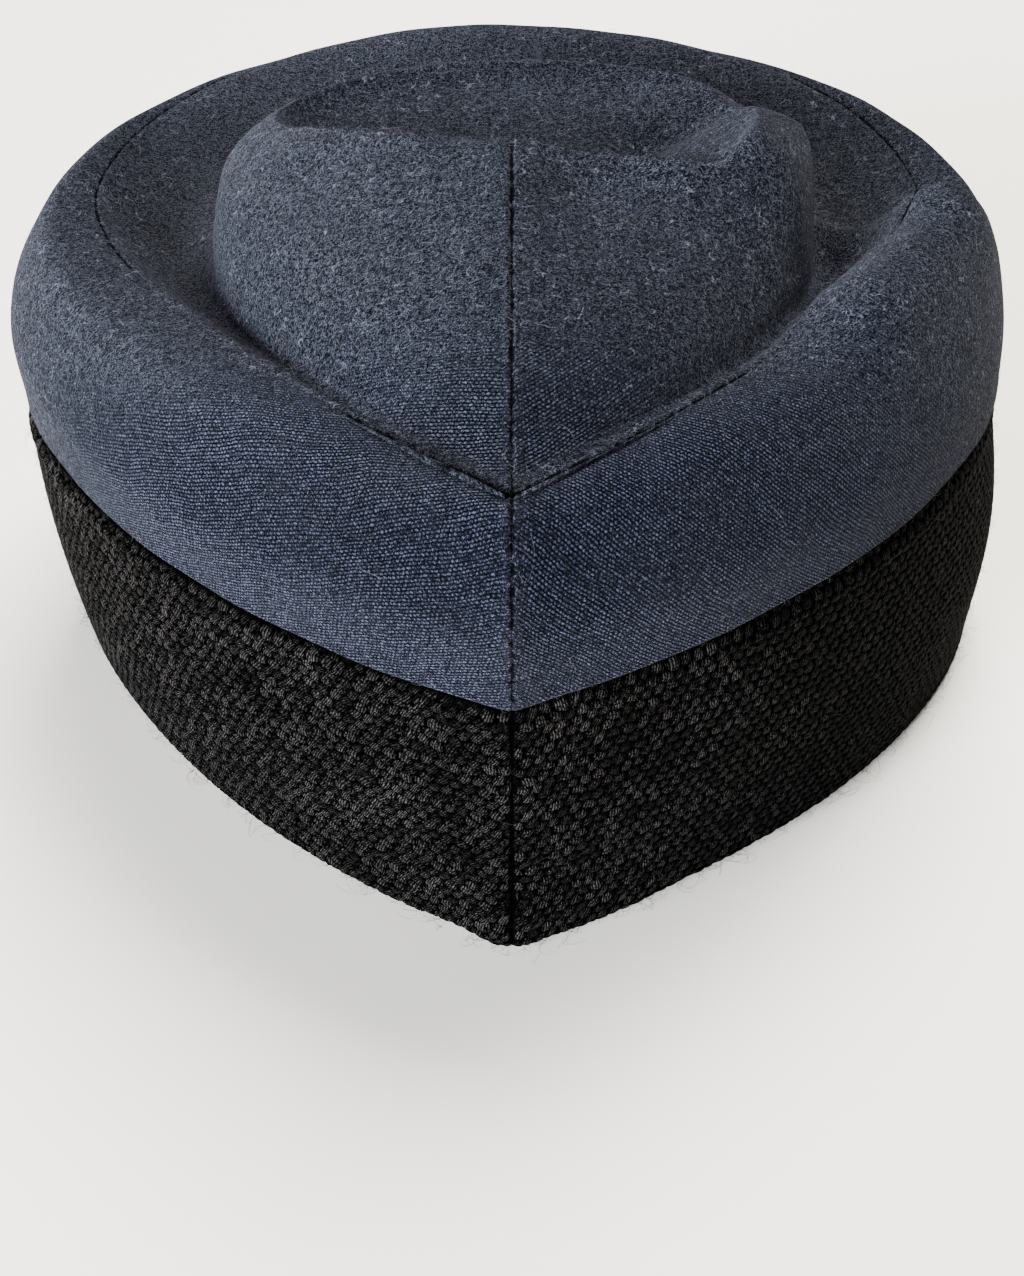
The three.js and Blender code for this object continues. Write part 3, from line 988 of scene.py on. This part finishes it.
woolFinish = {
    # colours from the gaps up to single fibres, and the height at which each is reached
    "colours": ((0.08, (0.0002, 0.0003, 0.0010, 1)), (0.38, (0.0023, 0.0028, 0.0066, 1)),
                (0.68, (0.0104, 0.0128, 0.0226, 1)), (1.0, (0.077, 0.083, 0.108, 1))),
    "weaveTint": (0.57, 0.66, 0.99, 1),
    # painted shade: the darker, warmer tint of the cloth in the moat
    "moatShadeTint": (0.62, 0.58, 0.53, 1),
    "depth": 0.80,
    "cloud": {"scale": 0.030, "spread": (0.80, 1.2)},
    "fleckShare": 0.17, "fleckColour": (0.057, 0.055, 0.052, 1),
    "seam": {"colour": (0.0003, 0.00035, 0.0005, 1), "cover": 0.92, "edge": 0.12,
             "raggedReach": 0.34, "raggedStart": 0.05},
    # patterns through the cloth: noise scale, detail and roughness, and the levels it is cut at
    "speckle": (3.6, 2.0, 0.7, 0.40, 0.62),
    "spark": (4.2, 1.0, 0.5, 0.60, 0.74),
    "coarse": (1.5, 1.0, 0.5, 0.40, 0.62),
    "strayPlaces": (0.35, 2.0, 0.5, 0.46, 0.60),
    "patch": (0.075, 3.0, 0.5, 0.30, 0.62),
    "fleck": (1.25, 2.0, 0.6, 0.60, 0.76),
    "ragged": (0.7, 2.0, 0.5, 0.35, 0.65),
    # the open weave: rows of round beads of yarn, in millimetres
    "rowPitch": 0.58, "beadPitch": 0.80, "beadWeights": (3.0, 4.8),
    "beadWear": {"scale": 0.9, "spread": 0.5, "least": 0.82},
    "beadBright": {"chance": 0.34, "least": 0.14, "speckle": 0.74, "spark": 0.22},
    "weaveShare": (0.3, 0.7),
    # slow drifts that keep the rows from looking ruled: noise scale, detail, reach
    "driftAlong": (0.45, 2.0, 1.3),
    "driftAcross": ((0.07, 1.0, 2.2), (0.9, 1.0, 0.34)),
    # the felted nap: scale, width and shift of each layer of short curly fibres
    "napLayers": ((0.75, 0.055, 0.9), (1.15, 0.062, 7.3), (1.7, 0.07, 3.1), (2.3, 0.08, 5.7)),
    "strayLayer": (0.40, 0.026, 11.0),
    "napHeights": {"nap": 0.56, "coarse": 0.09, "speckle": 0.36, "stray": 0.58},
    "napUnderWeave": 0.85,    # how much of the nap the weave takes away
    "roughness": 0.95, "specular": 0.02, "bump": 0.00022,
    "sheen": 0.12, "sheenByHeight": (1.7, 0.04), "sheenRoughness": 0.5,
    "sheenTint": (0.72, 0.79, 1.0, 1),
}


def driftedMap(f, where, u, v):
    w = woolFinish
    scale, detail, reach = w["driftAlong"]
    u = f.scaled(f.noise(where, scale, detail), reach, u)
    for scale, detail, reach in w["driftAcross"]:
        v = f.scaled(f.noise(where, scale, detail), reach, v)
    return u, v


def weaveBeads(f, space, speckle):
    w = woolFinish
    wear, bright = w["beadWear"], w["beadBright"]
    u, v = driftedMap(f, *f.clothMap())
    x, y, chance = f.staggeredCells(u, v, w["beadPitch"], w["rowPitch"])
    wearAndPaintedLight = f.scaled(f.noise(space, wear["scale"]), wear["spread"], wear["least"])
    dome = f.minus(wearAndPaintedLight, f.spread(x, y, *w["beadWeights"]), clamp=True)
    beads = f.times(dome, f.scaled(chance, bright["chance"], bright["least"]))
    beads = f.scaled(f.times(dome, speckle), bright["speckle"], beads)
    return f.scaled(f.pattern(space, *w["spark"]), bright["spark"], beads)


def feltedNap(f, space, speckle):
    # short curly fibres with no direction, laid through space so that no join shows
    w = woolFinish
    weights = w["napHeights"]
    nap = f.hairs(space, *w["napLayers"][0])
    for layer in w["napLayers"][1:]:
        nap = f.maths("MAXIMUM", nap, f.hairs(space, *layer))
    # single pale fibres lie loose over the nap
    stray = f.times(f.hairs(space, *w["strayLayer"]), f.pattern(space, *w["strayPlaces"]))
    felt = f.times(f.pattern(space, *w["coarse"]), weights["coarse"])
    felt = f.scaled(nap, weights["nap"], felt)
    felt = f.scaled(speckle, weights["speckle"], felt)
    return f.scaled(stray, weights["stray"], felt)


def woolColour(f, space, height, weaveShare):
    # the open weave shows a bluer ground than the nap
    w = woolFinish
    colour = f.ramp(height, *w["colours"])
    colour = f.tintedWhere(weaveShare, colour, w["weaveTint"])
    # painted shade: the cloth in the moat is darkened and warmed
    colour = f.tintedWhere(f.attribute("moatShade"), colour, w["moatShadeTint"])
    cloud = f.noise(space, w["cloud"]["scale"], detail=4.0)
    dark, pale = w["cloud"]["spread"]
    colour = f.tinted(colour, f.spanned(cloud, 0.3, 0.7, dark * w["depth"], pale * w["depth"]))
    # paler and warmer flecks from the undyed part of the yarn
    fleck = f.times(f.pattern(space, *w["fleck"]), w["fleckShare"])
    return f.blendColours(fleck, colour, w["fleckColour"])


def seamLine(f, space):
    # ragged where fibres and stitches cross it
    s = woolFinish["seam"]
    ragged = f.pattern(space, *woolFinish["ragged"])
    ragged = f.scaled(ragged, s["raggedReach"], s["raggedStart"])
    away = f.minus(f.attribute("fromSeam"), ragged)
    return f.spanned(away, -s["edge"], s["edge"], s["cover"], 0.0)


def woolMaterial():
    w = woolFinish
    f = Finish("heathered wool")
    space = f.millimetres()
    speckle = f.pattern(space, *w["speckle"])
    beads = weaveBeads(f, space, speckle)
    felt = feltedNap(f, space, speckle)
    patch = f.scaled(f.pattern(space, *w["patch"]), *w["weaveShare"])
    weaveShare = f.times(f.attribute("weave"), patch, clamp=True)
    napShare = f.scaled(weaveShare, -w["napUnderWeave"], 1.0)
    height = f.plus(f.times(beads, weaveShare), f.times(felt, napShare))

    line = seamLine(f, space)
    colour = woolColour(f, space, height, weaveShare)
    f.feed(f.shader.inputs["Base Color"], f.blendColours(line, colour, w["seam"]["colour"]))
    f.bumped(height, w["bump"])
    f.shader.inputs["Roughness"].default_value = w["roughness"]
    f.shader.inputs["Specular IOR Level"].default_value = w["specular"]
    sheen = f.times(f.scaled(height, *w["sheenByHeight"]), w["sheen"])
    f.feed(f.shader.inputs["Sheen Weight"], f.times(f.minus(1.0, line), sheen))
    f.shader.inputs["Sheen Roughness"].default_value = w["sheenRoughness"]
    f.shader.inputs["Sheen Tint"].default_value = w["sheenTint"]
    return f.material


knitFinish = {
    "colours": ((0.10, (0.00015, 0.00015, 0.0002, 1)), (0.36, (0.0042, 0.0039, 0.0040, 1)),
                (0.95, (0.054, 0.051, 0.051, 1))),
    # the dark seam line and the painted shade under the crown's edge
    "seamAndShadeColour": (0.0003, 0.0003, 0.0003, 1), "seamAndShadeCover": 0.95,
    "cloud": {"scale": 0.06, "spread": (0.7, 1.3)},
    # the plies of the yarn across each stitch, in millimetres and radians
    "strandPitch": 0.46, "slantChance": 0.5, "rippleReach": 7.0, "phaseChance": 6.0,
    "plyDepth": 0.84,
    "stitchWeights": (3.0, 2.0),
    "loose": {"scale": 0.55, "spread": 0.8, "least": 0.74},
    "rippleScale": 1.1,
    "grain": (2.2, 3.0, 0.75, 0.30, 0.60),
    "brightChance": (0.85, 0.55),
    "roughness": 0.75, "specular": 0.07, "bump": 0.0005,
}


def knitPlies(f, where, x, y, chance):
    # height of the plies, which run across each stitch at its slant
    k = knitFinish
    middle = k["slantChance"] / 2
    slant = f.plus(f.attribute("slant"),
                    f.scaled(chance, k["slantChance"], -middle))
    wide = f.times(x, knitBand["stitchWide"] / knitBand["stitchHigh"])
    run = f.minus(f.times(wide, f.maths("COSINE", slant)),
                  f.times(y, f.maths("SINE", slant)))
    reach = f.plus(f.times(wide, f.maths("SINE", slant)),
                    f.times(y, f.maths("COSINE", slant)))
    loose = f.scaled(f.noise(where, k["loose"]["scale"], flat=True),
                    k["loose"]["spread"], k["loose"]["least"])
    envelope = f.minus(loose, f.spread(run, reach, *k["stitchWeights"]), clamp=True)
    ripple = f.noise(where, k["rippleScale"], flat=True)
    phase = f.scaled(ripple, k["rippleReach"],
                    f.times(chance, k["phaseChance"]))
    waves = 2 * math.pi * knitBand["stitchHigh"] / k["strandPitch"]
    plies = f.maths("SINE", f.scaled(run, waves, phase))
    plies = f.scaled(plies, 0.5, 0.5)
    return f.times(envelope, f.scaled(plies, k["plyDepth"], 1 - k["plyDepth"]))


def knitMaterial():
    k = knitFinish
    f = Finish("black knit")
    where, u, v = f.clothMap()
    # the dark seam line and painted shade under the crown's edge: both darken the yarn and flatten its
    # plies
    seamShade = f.attribute("seamShade")
    x, y, chance = f.staggeredCells(u, v, knitBand["stitchWide"], knitBand["stitchHigh"])
    grain = f.pattern(where, *k["grain"], flat=True)
    height = f.times(knitPlies(f, where, x, y, chance), grain)
    height = f.times(height, f.minus(1.0, seamShade, clamp=True))

    bright = f.times(height, f.scaled(chance, *k["brightChance"]))
    # painted light and shade: the yarn is paler on the lit left half and darker on the right half in
    # shade
    bright = f.times(bright, f.attribute("wearAndPaintedLight"))
    cloud = f.noise(where, k["cloud"]["scale"], detail=3.0, flat=True)
    colour = f.tinted(f.ramp(bright, *k["colours"]), f.spanned(cloud, 0.3, 0.7, *k["cloud"]["spread"]))
    colour = f.blendColours(f.times(seamShade, k["seamAndShadeCover"]), colour, k["seamAndShadeColour"])
    f.feed(f.shader.inputs["Base Color"], colour)
    f.bumped(height, k["bump"])
    f.shader.inputs["Roughness"].default_value = k["roughness"]
    f.feed(f.shader.inputs["Specular IOR Level"], f.times(height, k["specular"]))
    return f.material


fibreFinish = {
    "wool": {"dark": (0.014, 0.016, 0.023, 1), "pale": (0.09, 0.092, 0.098, 1), "roughness": 0.8},
    "knit": {"dark": (0.001, 0.001, 0.001, 1), "pale": (0.011, 0.009, 0.0075, 1), "roughness": 0.7},
    "specular": 0.2,
}


def fibreMaterial(kind):
    own = fibreFinish[kind]
    f = Finish(kind + " fibre")
    f.feed(f.shader.inputs["Base Color"],
           f.blendColours(f.attribute("tone"), own["dark"], own["pale"]))
    f.shader.inputs["Roughness"].default_value = own["roughness"]
    f.shader.inputs["Specular IOR Level"].default_value = fibreFinish["specular"]
    return f.material


def finished(pieces, material):
    for piece in pieces:
        piece.data.materials.append(material)


finished(crownPieces + [peakPiece], woolMaterial())
finished(bandPieces, knitMaterial())
finished([woolFibres], fibreMaterial("wool"))
finished([knitFibres], fibreMaterial("knit"))
print("finishes made")


# stage, lights and camera

stageLook = {
    "floorSize": 6.0,
    "floorColour": (0.96, 0.93, 0.86, 1),
    "floorRoughness": 0.8,
    "worldColour": (1.0, 0.96, 0.90, 1),
    "worldStrength": 0.06,
    "lampSize": 0.7,
    "lampReach": 1.3,
    "aimHeight": 0.08,
    # turn from the back towards the left and height above the floor, both in degrees
    "window": {"turn": 42, "height": 10, "power": 95, "colour": (0.96, 0.98, 1.0)},
    "sky": {"turn": 200, "height": 62, "power": 76, "colour": (1.0, 0.96, 0.90)},
}


def paleFloor():
    half = stageLook["floorSize"] / 2
    mesh = bpy.data.meshes.new("floor")
    mesh.from_pydata([(-half, -half, 0), (half, -half, 0), (half, half, 0), (-half, half, 0)],
                     [], [(0, 1, 2, 3)])
    floor = bpy.data.objects.new("floor", mesh)
    bpy.context.scene.collection.objects.link(floor)
    f = Finish("pale floor")
    f.shader.inputs["Base Color"].default_value = stageLook["floorColour"]
    f.shader.inputs["Roughness"].default_value = stageLook["floorRoughness"]
    mesh.materials.append(f.material)


def softLight(name):
    own = stageLook[name]
    light = bpy.data.lights.new(name, "AREA")
    light.shape = "SQUARE"
    light.size = stageLook["lampSize"]
    light.energy = own["power"]
    light.color = own["colour"]
    lamp = bpy.data.objects.new(name, light)
    bpy.context.scene.collection.objects.link(lamp)
    turn, height = math.radians(own["turn"]), math.radians(own["height"])
    away = stageLook["lampReach"] * math.cos(height)
    rise = stageLook["lampReach"] * math.sin(height)
    lamp.location = (away * math.sin(turn), away * math.cos(turn), stageLook["aimHeight"] + rise)
    # the lamp faces the middle of the cap
    lamp.rotation_euler = (math.atan2(away, rise), 0, math.pi - turn)


def roomLight():
    world = bpy.data.worlds.new("room")
    world.use_nodes = True
    world.node_tree.nodes["Background"].inputs[0].default_value = stageLook["worldColour"]
    world.node_tree.nodes["Background"].inputs[1].default_value = stageLook["worldStrength"]
    bpy.context.scene.world = world


paleFloor()
softLight("window")
softLight("sky")
roomLight()

# behind the cap and looking down at it; places in millimetres from the cap's own origin
viewPoint = {"place": (0, 241.0, 222.3), "pitch": 45, "lens": 39.5, "sensor": 36}
lens = bpy.data.cameras.new("camera")
lens.lens = viewPoint["lens"]
lens.sensor_width = viewPoint["sensor"]
camera = bpy.data.objects.new("camera", lens)
bpy.context.scene.collection.objects.link(camera)
camera.location = (np.array(viewPoint["place"]) + capShift) / perMetre
camera.rotation_euler = (math.radians(90 - viewPoint["pitch"]), 0, math.pi)
bpy.context.scene.camera = camera
print("stage, lights and camera set")
